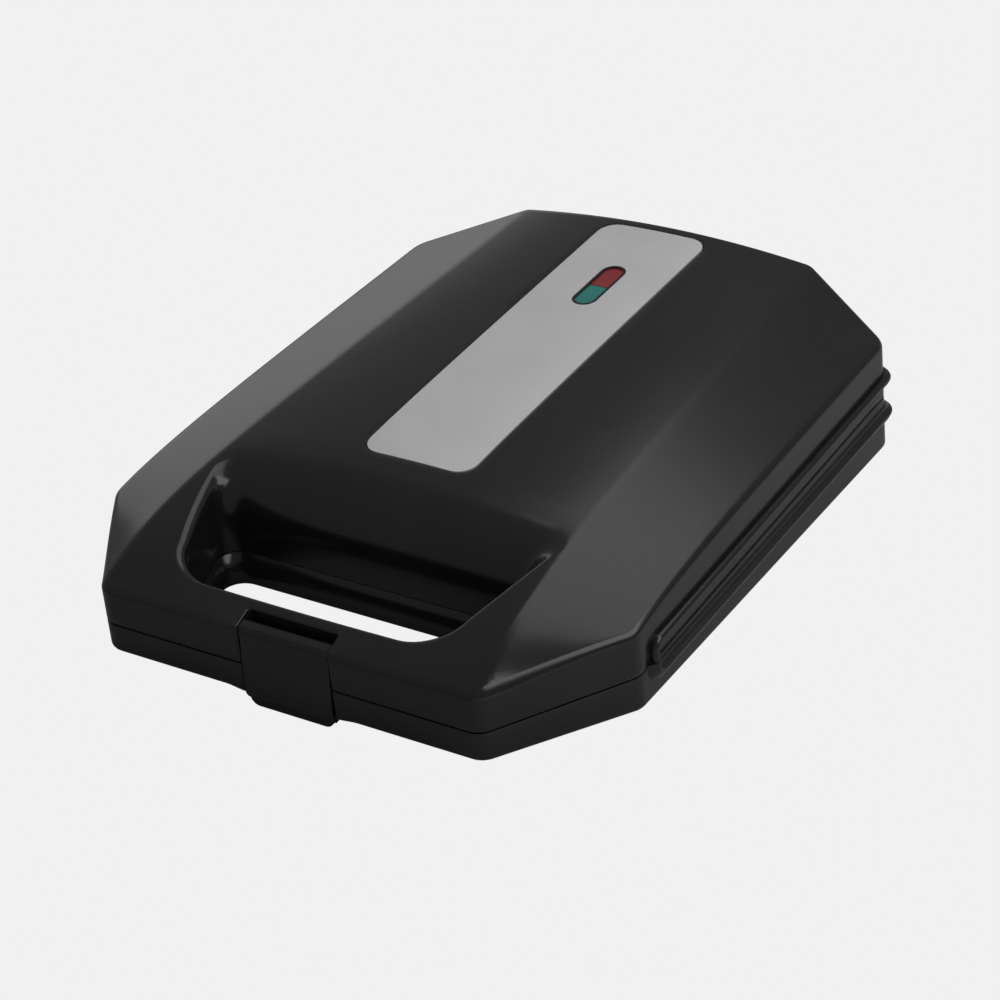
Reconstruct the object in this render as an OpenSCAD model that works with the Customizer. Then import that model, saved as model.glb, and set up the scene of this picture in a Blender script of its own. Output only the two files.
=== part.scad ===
// Countertop sandwich toaster: two moulded covers hinged at the back, a cast
// cooking plate in each, and a clip at the front that holds the handle bars together.
// Millimetres. +Z is up, the front is at -Y, and the rubber feet stand on z = 0.

/* [Body] */
// Greatest width of the body, at the front shoulders
body_w = 280; // [262:1:310]
// Width of the body at the rear shoulders
rear_w = 266; // [258:1:300]
// Depth of the body, front edge to back edge
body_d = 330; // [322:1:370]
// Length of the straight front edge
front_w = 199; // [186:1:212]
// Length of the straight back edge
back_w = 161; // [150:1:180]
// Front-to-back length of the two front corner cuts
front_cut = 62; // [52:1:70]
// Front-to-back length of the two rear corner cuts
rear_cut = 27; // [20:1:32]
// Radius of the upright corners
corner_r = 10; // [6:1:14]
// Wall thickness of the two moulded covers
wall = 2.5; // [2:0.1:3]
// Radius along the top edge of the upper cover
edge_r = 2.5; // [1.5:0.1:4]
// Radius along the bottom edge of the lower cover
base_edge_r = 3; // [1.5:0.1:4]

/* [Heights] */
// Height of the rubber feet
foot_h = 9; // [8:0.5:12]
// Parting line above the underside, at the front edge
split_front = 15; // [14:0.5:17]
// Parting line above the underside, at the back edge
split_back = 29; // [27:0.5:32]
// Gap between the closed covers
split_gap = 0.5; // [0.4:0.1:0.8]
// Height of the front edge of the upper cover above the underside
front_h = 33.7; // [32:0.1:37]
// How far the top rolls up behind the handle bar
roll_rise = 21.8; // [18:0.2:26]
// Length over which the top rolls up
roll_len = 43; // [36:1:50]
// Slope of the top towards the back, in degrees
top_pitch = 3.1; // [2.6:0.1:3.8]
// Crown of the middle field of the top
crown_h = 5.5; // [4:0.5:7]
// How far the middle field sinks below the creases at the handle bar
dish_h = 2; // [0:0.5:3]
// Fall of the side facets of the top, for each millimetre outwards
facet_fall = 0.3; // [0.26:0.01:0.34]

/* [Handle opening] */
// Depth of the handle bar
bar_d = 17; // [16.5:0.1:21]
// Width of the finger opening behind the bar
grip_front_w = 134; // [124:1:140]
// Width of the finger opening at its back
grip_w = 171; // [160:1:174]
// Distance from the front edge to the back wall of the opening
grip_back = 71; // [68:0.5:74]
// Radius of the scoop that rolls into the opening
scoop_r = 25; // [20:1:27]

/* [Latch] */
// Width of the latch
latch_w = 47; // [40:1:54]
// Clearance on each side of the latch
latch_gap = 0.5; // [0.4:0.1:0.8]
// Thickness of the latch plate
latch_t = 3.6; // [3:0.1:4]
// Depth of the notch in the upper bar
notch_d = 10.6; // [10:0.1:11.5]
// Height of the top of the latch above the underside
latch_top = 34.6; // [34:0.1:36]
// Diameter of the latch pin
latch_pin_d = 3; // [2.5:0.1:3.4]
// How far the hook reaches under the lower bar
hook_reach = 3.6; // [2.5:0.1:4]

/* [Cooking plates] */
// Space between the rear shoulders of the body and the sides of the cooking plates
plate_side = 9; // [8:0.5:16]
// Space between the back wall of the finger opening and the plates
plate_front = 16; // [13:0.5:22]
// Space between the back edge of the body and the plates
plate_back = 37; // [35:0.5:42]
// Width that the rims and the web of a plate leave beside its two wells
web_x = 28; // [24:1:40]
// Length that the rims and the web of a plate leave before and behind its wells
web_y = 26; // [22:1:36]
// How deep a well goes
well_depth = 7.6; // [7.2:0.1:8]
// Metal thickness under a well
plate_t = 2.4; // [2:0.1:2.6]
// Height of the ridge that marks the cut across a sandwich
ridge_h = 2.8; // [2:0.1:3]
// Diameter of the heating element tube
element_d = 5.4; // [5:0.1:5.6]

/* [Trim and lamps] */
// Width of the silver trim plate
trim_w = 58; // [50:1:64]
// Length of the trim plate
trim_l = 216; // [200:1:220]
// Corner radius of the trim plate
trim_r = 9; // [6:0.5:12]
// Distance from the back edge of the body to the trim plate
trim_back = 8; // [6:0.5:12]
// Length of the lamp window
lamp_l = 38; // [32:1:42]
// Width of the lamp window
lamp_w = 12.6; // [11:0.2:14]
// Distance from the back edge of the body to the middle of the lamp window
lamp_back = 63.5; // [56:0.5:70]

/* [Hinge] */
// Diameter of the hinge pins
hinge_pin_d = 5; // [4:0.1:6]
// Diameter of the hinge knuckles
knuckle_d = 12; // [11:0.1:12.4]
// Width of a knuckle of the lid
lid_knuckle_w = 16; // [12:1:20]
// Width of a knuckle of the base
base_knuckle_w = 7; // [5:0.5:9]
// Side-to-side distance of a hinge from the middle
hinge_x = 52; // [46:1:54]

/* [Hidden] */
$fn = 48;
eps = 0.02;

// Main planes
hinge_gap = 0.5;
hinge_reach = knuckle_d + hinge_gap;
latch_proud = 0.6;
y0 = -(body_d + hinge_reach - latch_proud) / 2;
y1 = y0 + body_d;
z0 = foot_h;
high = 140;
tilt = atan((split_back - split_front) / body_d);
grip_y0 = y0 + bar_d;
grip_y1 = y0 + grip_back;
scoop_y = grip_y1 + scoop_r;

// Colours
black_gloss = [0.10, 0.10, 0.11];
cast_dark = [0.16, 0.16, 0.17];
steel = [0.70, 0.71, 0.73];
rubber = [0.07, 0.07, 0.07];
silver = [0.66, 0.67, 0.68];

// Plan outline of the body, counter-clockwise from the front right corner
outline = [[front_w / 2, y0], [body_w / 2, y0 + front_cut], [rear_w / 2, y1 - rear_cut],
    [back_w / 2, y1], [-back_w / 2, y1], [-rear_w / 2, y1 - rear_cut],
    [-body_w / 2, y0 + front_cut], [-front_w / 2, y0]];

function unit(v) = v / norm(v);
function out_normal(a, b) = let (e = unit(b - a)) [e.y, -e.x];
function each_r(r, i) = is_list(r) ? r[i] : r;

// Convex outline moved inwards by d
function inset(pts, d) = [for (i = [0:len(pts) - 1])
    let (n = len(pts), a = pts[(i + n - 1) % n], p = pts[i], b = pts[(i + 1) % n],
        n1 = out_normal(a, p), n2 = out_normal(p, b))
    p - (n1 + n2) * d / (1 + n1 * n2)];

// Convex outline with an arc of radius r at each corner
function rounded(pts, r, steps = 5) = [for (i = [0:len(pts) - 1])
    let (n = len(pts), a = pts[(i + n - 1) % n], p = pts[i], b = pts[(i + 1) % n],
        n1 = out_normal(a, p), n2 = out_normal(p, b), q = each_r(r, i),
        c = p - (n1 + n2) * q / (1 + n1 * n2),
        a1 = atan2(n1.y, n1.x), turn = (atan2(n2.y, n2.x) - a1 + 360) % 360)
    for (k = [0:steps]) c + q * [cos(a1 + turn * k / steps), sin(a1 + turn * k / steps)]];

// Rectangle with rounded corners, centred
function rounded_rect(w, d, r, steps = 5) =
    rounded([[w / 2, -d / 2], [w / 2, d / 2], [-w / 2, d / 2], [-w / 2, -d / 2]], r, steps);

// Half width of the body at y, crease between middle field and facet, and heights above the underside
function half_w(y) = lookup(y, [[y0, front_w / 2], [y0 + front_cut, body_w / 2],
    [y1 - rear_cut, rear_w / 2], [y1, back_w / 2]]);
function flare(y) = norm([1, (half_w(y + eps) - half_w(y - eps)) / (2 * eps)]);
function crease(y) = min(lookup(y, [[y0, front_w / 2], [y1, back_w / 2]]),
    half_w(y) - 1.3 * edge_r * flare(y));
function run(y) = max(0, y - y0);
function rolled(y) = 1 - exp(-run(y) / roll_len);
function crease_z(y) = z0 + front_h + roll_rise * rolled(y) + run(y) * tan(top_pitch);
function fall(y) = facet_fall + 0.02 * run(y) / body_d + 0.55 * exp(-run(y) / (0.35 * front_cut));
function crown_share(y) = let (t = min(1, max(0, (run(y) / grip_back - 0.6) / 0.95))) t * t * (3 - 2 * t);
function bow(y) = crown_h * crown_share(y) - dish_h * (1 - crown_share(y)) * (1 - exp(-run(y) / 8));
function top_z(x, y) = let (a = abs(x), c = crease(y))
    a < c ? crease_z(y) + bow(y) * (1 - pow(a / c, 2)) : crease_z(y) - (a - c) * fall(y);
function split_z(y) = z0 + split_front + (y - y0) * tan(tilt);

// Distance inside the plan outline, and how far an edge radius r drops the surface there
function edge_dist(x, y) = let (p = [abs(x), y])
    min([y - y0, y1 - y, for (i = [0:2]) (outline[i] - p) * out_normal(outline[i], outline[i + 1])]);
function round_drop(d, r) = d >= r ? 0 : r - sqrt(r * r - pow(r - max(d, 0), 2));

// Drop of the rolled edge behind the finger opening, for a roll of radius r
function scoop_drop(y, r) = y >= scoop_y ? scoop_r - r
    : scoop_r - sqrt(max(0, r * r - pow(scoop_y - y, 2)));

// Solid between two surfaces lo(x, y) and hi(x, y) over a grid
module slab(cols, rows, lo, hi, flat = true) {
    nx = len(cols(rows[0]));
    ny = len(rows);
    n = nx * ny;
    points = [for (y = rows) for (x = cols(y)) [x, y, hi(x, y)],
        for (y = rows) for (x = cols(y)) [x, y, lo(x, y)]];
    edge = [for (i = [0:nx - 1]) i, for (j = [1:ny - 1]) j * nx + nx - 1,
        for (i = [nx - 2:-1:0]) (ny - 1) * nx + i, for (j = [ny - 2:-1:1]) j * nx];
    upper = [for (j = [0:ny - 2]) for (i = [0:nx - 2]) let (a = j * nx + i)
        each [[a, a + nx, a + nx + 1], [a, a + nx + 1, a + 1]]];
    lower = flat ? [[for (a = edge) a + n]] : [for (f = upper) [f[2] + n, f[1] + n, f[0] + n]];
    sides = [for (k = [0:len(edge) - 1]) let (a = edge[k], b = edge[(k + 1) % len(edge)])
        each [[a + n, a, b], [a + n, b, b + n]]];
    polyhedron(points, concat(upper, lower, sides), convexity = 6);
}

// Solid through a stack of outlines that have equally many points
module stack(layers) {
    n = len(layers[0][0]);
    m = len(layers);
    points = [for (layer = layers) for (p = layer[0]) [p.x, p.y, layer[1]]];
    bottom = [[for (k = [0:n - 1]) k]];
    lid = [[for (k = [n - 1:-1:0]) (m - 1) * n + k]];
    sides = [for (j = [0:m - 2]) for (k = [0:n - 1]) let (a = j * n + k, b = j * n + (k + 1) % n)
        each [[a, a + n, b + n], [a, b + n, b]]];
    polyhedron(points, concat(bottom, lid, sides), convexity = 6);
}

// Sweep of a profile [outwards, upwards] along points whose outward directions are given
module sweep(path, outs, profile) {
    n = len(profile);
    m = len(path);
    points = [for (i = [0:m - 1])
        let (t = unit(path[min(i + 1, m - 1)] - path[max(i - 1, 0)]), o = outs[i], up = cross(t, o))
        for (q = profile) path[i] + q.x * o + q.y * up];
    ends = [[for (k = [0:n - 1]) k], [for (k = [n - 1:-1:0]) (m - 1) * n + k]];
    sides = [for (j = [0:m - 2]) for (k = [0:n - 1]) let (a = j * n + k, b = j * n + (k + 1) % n)
        each [[a, a + n, b + n], [a, b + n, b]]];
    polyhedron(points, concat(ends, sides), convexity = 6);
}

// Joins faceted pieces as one mesh, at their own size
module one_mesh() {
    resize([0, 0, 0]) union() children();
}

// Points of a level path whose corners are rounded to radius b
function bends(pts, b, steps = 4) = [for (i = [0:len(pts) - 1])
    if (i == 0 || i == len(pts) - 1) concat(pts[i], 0)
    else let (u = unit(pts[i] - pts[i - 1]), v = unit(pts[i + 1] - pts[i]), c = pts[i] - b * u + b * v)
        for (k = [0:steps]) concat(c - b * v * cos(90 * k / steps) + b * u * sin(90 * k / steps), 0)];

// Round tube of diameter d along a level path
module tube(pts, d, b, sides = 10) {
    path = bends(pts, b);
    m = len(path);
    outs = [for (i = [0:m - 1]) let (t = unit(path[min(i + 1, m - 1)] - path[max(i - 1, 0)])) [t.y, -t.x, 0]];
    sweep(path, outs, [for (a = [0:sides - 1]) d / 2 * [cos(360 * a / sides), sin(360 * a / sides)]]);
}

module prism(pts, z_lo = 0, z_hi = high) {
    translate([0, 0, z_lo]) linear_extrude(z_hi - z_lo) polygon(pts);
}

// Profile in [y, z], extruded across the width w
module across(pts, w) {
    rotate([90, 0, 90]) linear_extrude(w, center = true) polygon(pts);
}

module rod_x(d, w) {
    rotate([0, 90, 0]) cylinder(d = d, h = w, center = true);
}

module both_sides() {
    children();
    mirror([1, 0, 0]) children();
}

// Half spaces above and below the parting plane, each held back by half the gap
module above_split() {
    across([[y0 - 40, split_z(y0 - 40) + split_gap / 2], [y1 + 40, split_z(y1 + 40) + split_gap / 2],
        [y1 + 40, high], [y0 - 40, high]], 2 * body_w);
}
module below_split() {
    across([[y0 - 40, -1], [y1 + 40, -1], [y1 + 40, split_z(y1 + 40) - split_gap / 2],
        [y0 - 40, split_z(y0 - 40) - split_gap / 2]], 2 * body_w);
}

// Local frame whose z = 0 is the parting plane
module on_split() {
    translate([0, y0, z0 + split_front]) rotate([tilt, 0, 0]) translate([0, -y0, 0]) children();
}

// Grid lines of the top surface
top_rows = [y0 - 1, for (k = [0.08, 0.3, 0.6, 1]) y0 + k * edge_r, y0 + 7, y0 + 13, y0 + bar_d + 2,
    y0 + 29, y0 + 40, y0 + 51, y0 + front_cut, grip_y1 + 3, scoop_y - 9, scoop_y + 4,
    for (k = [1:5]) scoop_y + 4 + (y1 - rear_cut - scoop_y - 4) * k / 5,
    y1 - 0.6 * rear_cut, y1 - 0.3 * rear_cut, for (k = [1, 0.6, 0.3, 0.08]) y1 - k * edge_r, y1 + 1];
function top_cols(y) = let (c = crease(y), h = half_w(y), f = flare(y) * edge_r,
    right = [for (k = [1:4]) c * k / 4, c + (h - f - c) * 0.5, for (k = [1, 0.6, 0.3, 0.08]) h - k * f,
        h + 1])
    concat([for (k = [len(right) - 1:-1:0]) -right[k]], [0], right);

// Grid lines of the ceiling inside the upper cover
inner_rows = [y0, y0 + 8, y0 + bar_d, y0 + 29, y0 + 45, y0 + front_cut, grip_y1,
    for (a = [0:15:75]) scoop_y - (scoop_r - wall) * cos(a), scoop_y,
    for (k = [1:3]) scoop_y + (y1 - rear_cut - scoop_y) * k / 3, y1];
function inner_cols(y) = let (c = crease(y), h = half_w(y),
    right = [c * 0.4, c * 0.75, c, h + 1]) concat([for (k = [3:-1:0]) -right[k]], [0], right);

// Plan of the finger opening: the shaft through both covers, and the wider mouth of the scoop
shaft_plan = [[grip_front_w / 2, grip_y0], [grip_w / 2, grip_y1], [-grip_w / 2, grip_y1],
    [-grip_front_w / 2, grip_y0]];
shaft_r = [20, 18, 18, 20];
mouth_plan = [[grip_front_w / 2, grip_y0], [grip_w / 2, grip_y1], [grip_w / 2, scoop_y - 2],
    [-grip_w / 2, scoop_y - 2], [-grip_w / 2, grip_y1], [-grip_front_w / 2, grip_y0]];
mouth_r = [20, 15, 10, 10, 15, 20];

module finger_shaft(grow = 0) {
    prism(rounded(inset(shaft_plan, -grow), [for (r = shaft_r) r + grow]), -1);
}

// The scoop behind the shaft rolls from the top surface down into the shaft's back wall
module scoop_mouth() {
    intersection() {
        prism(rounded(mouth_plan, mouth_r), 0);
        slab(function (y) [for (k = [-5:5]) k * (grip_w / 2 + 2) / 5],
            [grip_y0 - 2, grip_y0 + 8, grip_y0 + 16, grip_y0 + 26, grip_y1 - 12, grip_y1 - eps,
                for (a = [0:10:90]) scoop_y - scoop_r * cos(a)],
            function (x, y) y < grip_y1 ? split_z(y) - 2 : top_z(x, y) - scoop_drop(y, scoop_r) + eps,
            function (x, y) high, flat = false);
    }
}

// Raised bead round the long opening at each side, where the covers meet
bead_y0 = y0 + 78;
bead_y1 = y1 - rear_cut - 2;
bead_bend = 4.5;
function wall_x(y) = half_w(y);
side_out = concat(out_normal(outline[1], outline[2]), [0]);
cut_out = concat(out_normal(outline[2], outline[3]), [0]);
corner_out = unit(side_out + cut_out);
function on_side(y, z) = [wall_x(y), y, z];
function on_cut(s, z) = let (p = outline[2] + s * unit(outline[3] - outline[2])) [p.x, p.y, z];
function upper_bead_z(y) = split_z(y) + 9.6;
function lower_bead_z(y) = split_z(y) - 5.6 + (bead_y0 - y) * 0.012;

// Path of a bead: up or down from the parting line at the front, along the side, round the rear corner
function bead_path(height) = let (ya = bead_y0, up = sign(height(ya) - split_z(ya)), b = bead_bend)
    concat([on_side(ya - b, split_z(ya) - up)],
        [for (a = [0:22.5:90]) on_side(ya - b * cos(a), height(ya) - up * b * (1 - sin(a)))],
        [for (k = [1:3]) on_side(ya + (bead_y1 - ya) * k / 3, height(ya + (bead_y1 - ya) * k / 3))],
        [for (s = [4, 12, 20]) on_cut(s, height(y1 - rear_cut))]);
bead_outs = concat([for (k = [1:8]) side_out], [unit(side_out * 3 + cut_out)],
    [unit(side_out + cut_out * 3), cut_out, cut_out]);

upper_bead_profile = [for (a = [0:36:324]) [0.6 + 2.7 * cos(a), 2 * sin(a)]];
lower_bead_profile = [[-1.5, -4.6], [0.5, -3.6], [1.2, -2.3], [2.2, -1.3], [3.2, -0.8], [3.5, 0.2],
    [2.9, 1.6], [1.6, 3.6], [0.3, 5], [-1.5, 5.4]];

module side_bead(height, profile) {
    both_sides() sweep(bead_path(height), bead_outs, profile);
}

// Places of the screws that hold each cooking plate, on the webs between the wells
plate_w = rear_w - 2 * plate_side;
plate_d = body_d - grip_back - plate_front - plate_back;
plate_y = y1 - plate_back - plate_d / 2;
well_w = (plate_w - web_x) / 2;
well_d = (plate_d - web_y) / 2;
screw_places = [[0, plate_y - well_d / 2 - 4], [0, plate_y + well_d / 2 + 4],
    [-well_w / 2 - 6, plate_y], [well_w / 2 + 6, plate_y]];
screw_d = 3.2;
head_d = 6;
boss_d = 8;
deck = well_depth + plate_t + split_gap;

// Latch pivot
pin_y = y0 + 5.3;
pin_z = z0 + latch_top - 5;
barrel_r = 4.4;

// Running clearance of the two pins, on the diameter
pin_clearance = 0.12;

// Hinge axis, just behind the back wall at the parting plane
hinge_y = y1 + hinge_reach - knuckle_d / 2;
hinge_z = split_z(y1);

// One knuckle of width w and its arm to the back wall: side 1 for the lid, -1 for the base
module hinge_knuckle(w, side) {
    across(concat([[y1 - wall, hinge_z + side * 13]],
        [for (a = [90:-15:-180]) [hinge_y + knuckle_d / 2 * cos(a), hinge_z + side * knuckle_d / 2 * sin(a)]],
        [[y1 - wall, hinge_z + side * split_gap]]), w);
}
module hinge_bores(clearance) {
    for (s = [-1, 1]) translate([s * hinge_x, hinge_y, hinge_z])
        rod_x(hinge_pin_d + clearance, lid_knuckle_w + 2 * base_knuckle_w + 4);
}
base_knuckle_x = lid_knuckle_w / 2 + base_knuckle_w / 2 + 0.5;

// Trim plate and lamps
trim_y = y1 - trim_back - trim_l / 2;
trim_t = 1.2;
trim_proud = 0.5;
lamp_y = y1 - lamp_back;
lamp_z = top_z(0, lamp_y);
bezel_wall = 1.2;
bezel_h = 7;
lens_h = 3;

function stadium(w, l, steps = 8) = rounded([[w / 2, -l / 2], [w / 2, l / 2], [-w / 2, l / 2], [-w / 2, -l / 2]],
    w / 2 - eps, steps);

module at_lamp() {
    translate([0, lamp_y, lamp_z]) rotate([top_pitch, 0, 0]) children();
}

module under_trim(grow, lo, hi) {
    intersection() {
        translate([0, trim_y, 0]) prism(rounded_rect(trim_w + 2 * grow, trim_l + 2 * grow, trim_r + grow));
        slab(function (y) [for (k = [-3:3]) k * (trim_w / 2 + 2) / 3],
            [for (k = [0:9]) trim_y - trim_l / 2 - 2 + k * (trim_l + 4) / 9],
            function (x, y) top_z(x, y) + lo, function (x, y) top_z(x, y) + hi, flat = false);
    }
}

// Ledge that closes the gap between a cover's walls and its plate, in the frame of the parting plane
ledge_t = 2.4;
plate_gap = 0.8;
module ledge(up) {
    on_split() translate([0, 0, up > 0 ? 0 : -ledge_t]) linear_extrude(ledge_t) difference() {
        translate([-body_w, grip_y1]) square([2 * body_w, body_d]);
        translate([0, plate_y])
            polygon(rounded_rect(plate_w + 2 * plate_gap, plate_d + 2 * plate_gap, 8 + plate_gap));
    }
}

/* Lower cover */
module lower_shell() {
    intersection() {
        union() {
            stack([for (a = [0:22.5:90]) [rounded(inset(outline, base_edge_r * (1 - sin(a))),
                    corner_r - base_edge_r * (1 - sin(a))), z0 + base_edge_r * (1 - cos(a))],
                [rounded(outline, corner_r), high]]);
            side_bead(function (y) lower_bead_z(y), lower_bead_profile);
        }
        below_split();
    }
}

module lower_cavity() {
    floor_z = z0 + 2.2;
    difference() {
        prism(rounded(inset(outline, wall), corner_r - wall), floor_z);
        finger_shaft(wall);
        translate([-body_w, grip_y1, 0]) cube([2 * body_w, wall, high]);
        translate([-latch_w / 2 - 6, y0, 0]) cube([latch_w + 12, bar_d, high]);
        for (x = [-1, 1]) translate([x * 62 - 1, y0, 0]) cube([2, bar_d, high]);
        ledge(-1);
    }
}

module lower_body() {
    difference() {
        union() {
            difference() {
                lower_shell();
                lower_cavity();
            }
            for (p = screw_places) let (h = split_z(p.y) - deck - z0 - 1) on_split()
                translate([p.x, p.y, -deck - h]) cylinder(d = boss_d, h = h, $fn = 24);
            for (s = [-1, 1]) for (t = [-1, 1]) translate([s * hinge_x + t * base_knuckle_x, 0, 0])
                hinge_knuckle(base_knuckle_w, -1);
        }
        finger_shaft();
        translate([-latch_w / 2 - latch_gap, y0 - 1, 0])
            cube([latch_w + 2 * latch_gap, 1 + latch_t + 0.8, high]);
    }
}

module lower_cover() {
    color(black_gloss) difference() {
        one_mesh() lower_body();
        hinge_bores(0);
        on_split() for (p = screw_places) translate([p.x, p.y, -deck - 9]) cylinder(d = screw_d, h = 20);
        for (x = [-1, 1]) for (y = foot_rows) translate([x * foot_x, y, z0 - 1]) cylinder(d = foot_stem_d, h = 6);
        translate([0, y1 - 20, z0 + 13]) rotate([-90, 0, 0]) cylinder(d = bush_d, h = 40);
    }
}

/* Upper cover */
module upper_shell() {
    intersection() {
        union() {
            intersection() {
                slab(function (y) top_cols(y), top_rows, function (x, y) z0,
                    function (x, y) top_z(x, y) - round_drop(edge_dist(x, y), edge_r));
                prism(rounded(outline, corner_r));
            }
            side_bead(function (y) upper_bead_z(y), upper_bead_profile);
        }
        above_split();
    }
}

module upper_cavity() {
    difference() {
        intersection() {
            slab(function (y) inner_cols(y), inner_rows, function (x, y) z0,
                function (x, y) top_z(x, y) - (y <= grip_y1 ? wall : scoop_drop(y, scoop_r - wall)));
            prism(rounded(inset(outline, wall), corner_r - wall));
        }
        finger_shaft(wall);
        translate([-body_w, grip_y1, 0]) cube([2 * body_w, wall, high]);
        translate([-latch_w / 2 - 6, y0, 0]) cube([latch_w + 12, bar_d, high]);
        for (x = [-1, 1]) translate([x * 62 - 1, y0, 0]) cube([2, bar_d, high]);
        ledge(1);
    }
}

module upper_body() {
    difference() {
        union() {
            difference() {
                upper_shell();
                upper_cavity();
            }
            for (p = screw_places) on_split() translate([p.x, p.y, deck])
                cylinder(d = boss_d, h = top_z(p.x, p.y) - 1.5 - split_z(p.y) - deck, $fn = 24);
            for (s = [-1, 1]) translate([s * hinge_x, 0, 0])
                hinge_knuckle(lid_knuckle_w, 1);
        }
        scoop_mouth();
        translate([-latch_w / 2 - latch_gap, y0 - 1, 0]) cube([latch_w + 2 * latch_gap, 1 + notch_d, high]);
        under_trim(0.4, trim_proud - trim_t, 6);
        at_lamp() translate([0, 0, -20]) linear_extrude(40) polygon(stadium(lamp_w, lamp_l));
    }
}

module upper_cover() {
    color(black_gloss) difference() {
        one_mesh() upper_body();
        hinge_bores(pin_clearance);
        translate([0, pin_y, pin_z]) rod_x(latch_pin_d, latch_w + 8);
        on_split() for (p = screw_places) translate([p.x, p.y, deck - 11]) cylinder(d = screw_d, h = 20);
    }
}

/* Cooking plates, in the frame of the parting plane */
face = -split_gap / 2 - 0.2;
module plate_body() {
    difference() {
        union() {
            translate([0, plate_y, face - 2.6]) linear_extrude(2.6) polygon(rounded_rect(plate_w, plate_d, 8));
            translate([0, plate_y, -deck]) linear_extrude(deck - 2)
                polygon(rounded_rect(plate_w - 10, plate_d - 10, 6));
        }
        for (sx = [-1, 1]) for (sy = [-1, 1])
            translate([sx * (well_w / 2 + web_x / 6), plate_y + sy * (well_d / 2 + web_y / 6), face - well_depth])
                linear_extrude(20) polygon(rounded_rect(well_w - 1, well_d - 1, 9));
    }
    for (sx = [-1, 1]) for (sy = [-1, 1])
        translate([sx * (well_w / 2 + web_x / 6), plate_y + sy * (well_d / 2 + web_y / 6), face - well_depth - 0.5])
            cut_ridge(sx * sy);
}
module cook_plate() {
    difference() {
        one_mesh() plate_body();
        for (p = screw_places) translate([p.x, p.y, -20]) cylinder(d = screw_d, h = 40);
        for (p = screw_places) translate([p.x, p.y, face - 2.2]) cylinder(d = head_d + 0.4, h = 10);
    }
}

// Low ridge from corner to corner of a well
module cut_ridge(turn) {
    reach = norm([well_w, well_d]) / 2 - 5;
    rotate([0, 0, turn * atan(well_d / well_w)]) rotate([90, 0, 90]) linear_extrude(2 * reach, center = true)
        polygon([[-3.4, 0], [3.4, 0], [0.8, ridge_h + 0.5], [-0.8, ridge_h + 0.5]]);
}

module lower_cook_plate() {
    color(cast_dark) on_split() cook_plate();
}
module upper_cook_plate() {
    color(cast_dark) on_split() mirror([0, 0, 1]) cook_plate();
}

// Tubular element pressed against the back of a plate, with its two ends at the back
module heating_element() {
    x1 = plate_w / 2 - 22;
    x2 = 26;
    ya = plate_y - plate_d / 2 + 20;
    yb = plate_y + plate_d / 2 - 24;
    ym = plate_y + 20;
    translate([0, 0, -deck - element_d / 2])
        tube([[-x2, yb + 14], [-x2, yb - 26], [-x1, yb - 26], [-x1, ya], [-x2, ya], [-x2, ym],
            [x2, ym], [x2, ya], [x1, ya], [x1, yb - 26], [x2, yb - 26], [x2, yb + 14]], element_d, 9);
}

module lower_heating_element() {
    color(steel) on_split() heating_element();
}
module upper_heating_element() {
    color(steel) on_split() mirror([0, 0, 1]) heating_element();
}

/* Heat shields */
shield_t = 0.5;
module shield_sheet(w, d, lip) {
    difference() {
        union() {
            linear_extrude(lip) polygon(rounded_rect(w, d, 6));
        }
        translate([0, 0, shield_t]) linear_extrude(lip) polygon(rounded_rect(w - 2 * shield_t, d - 2 * shield_t, 5.5));
        for (p = screw_places) translate([p.x, p.y - plate_y, -1]) cylinder(d = boss_d + 1, h = lip + 2);
    }
}
module lower_heat_shield() {
    color(steel) translate([0, plate_y, z0 + 2.2]) shield_sheet(plate_w - 26, plate_d - 26, 2);
}
shield_up = deck + element_d + 3;
module upper_heat_shield() {
    color(steel) difference() {
        on_split() translate([0, plate_y, shield_up + 2]) mirror([0, 0, 1])
            shield_sheet(plate_w - 26, plate_d - 26, 2);
        at_lamp() translate([0, 0, -40]) cylinder(d = 3, h = 1);
    }
}

/* Fasteners, feet, pins */
module plate_screw() {
    cylinder(d = screw_d, h = deck + 6);
    cylinder(d1 = head_d, d2 = head_d - 1, h = 1.8);
}
module lower_plate_screws() {
    color(steel) on_split() for (p = screw_places) translate([p.x, p.y, -0.8]) mirror([0, 0, 1]) plate_screw();
}
module upper_plate_screws() {
    color(steel) on_split() for (p = screw_places) translate([p.x, p.y, 0.8]) plate_screw();
}

foot_d = 20;
foot_stem_d = 7;
foot_x = front_w / 2 - 6;
foot_rows = [y0 + 45, y1 - 45];
module rubber_feet() {
    color(rubber) for (x = [-1, 1]) for (y = foot_rows) translate([x * foot_x, y, 0]) {
        cylinder(d1 = foot_d - 2, d2 = foot_d, h = z0);
        cylinder(d = foot_stem_d, h = z0 + 2.2);
        translate([0, 0, z0 + 2.2]) cylinder(d1 = foot_stem_d + 2, d2 = foot_stem_d - 1, h = 2);
    }
}

module hinge_pins() {
    color(steel) for (s = [-1, 1]) translate([s * hinge_x, hinge_y, hinge_z])
        rod_x(hinge_pin_d, lid_knuckle_w + 2 * base_knuckle_w + 1);
}

bush_d = 12;
module cord_bush() {
    color(rubber) translate([0, y1, z0 + 13]) rotate([-90, 0, 0]) difference() {
        union() {
            translate([0, 0, -wall - 3.5]) cylinder(d = bush_d, h = wall + 5);
            cylinder(d = bush_d + 3, h = 2);
        }
        translate([0, 0, -20]) cylinder(d = 7, h = 40);
    }
}

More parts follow.
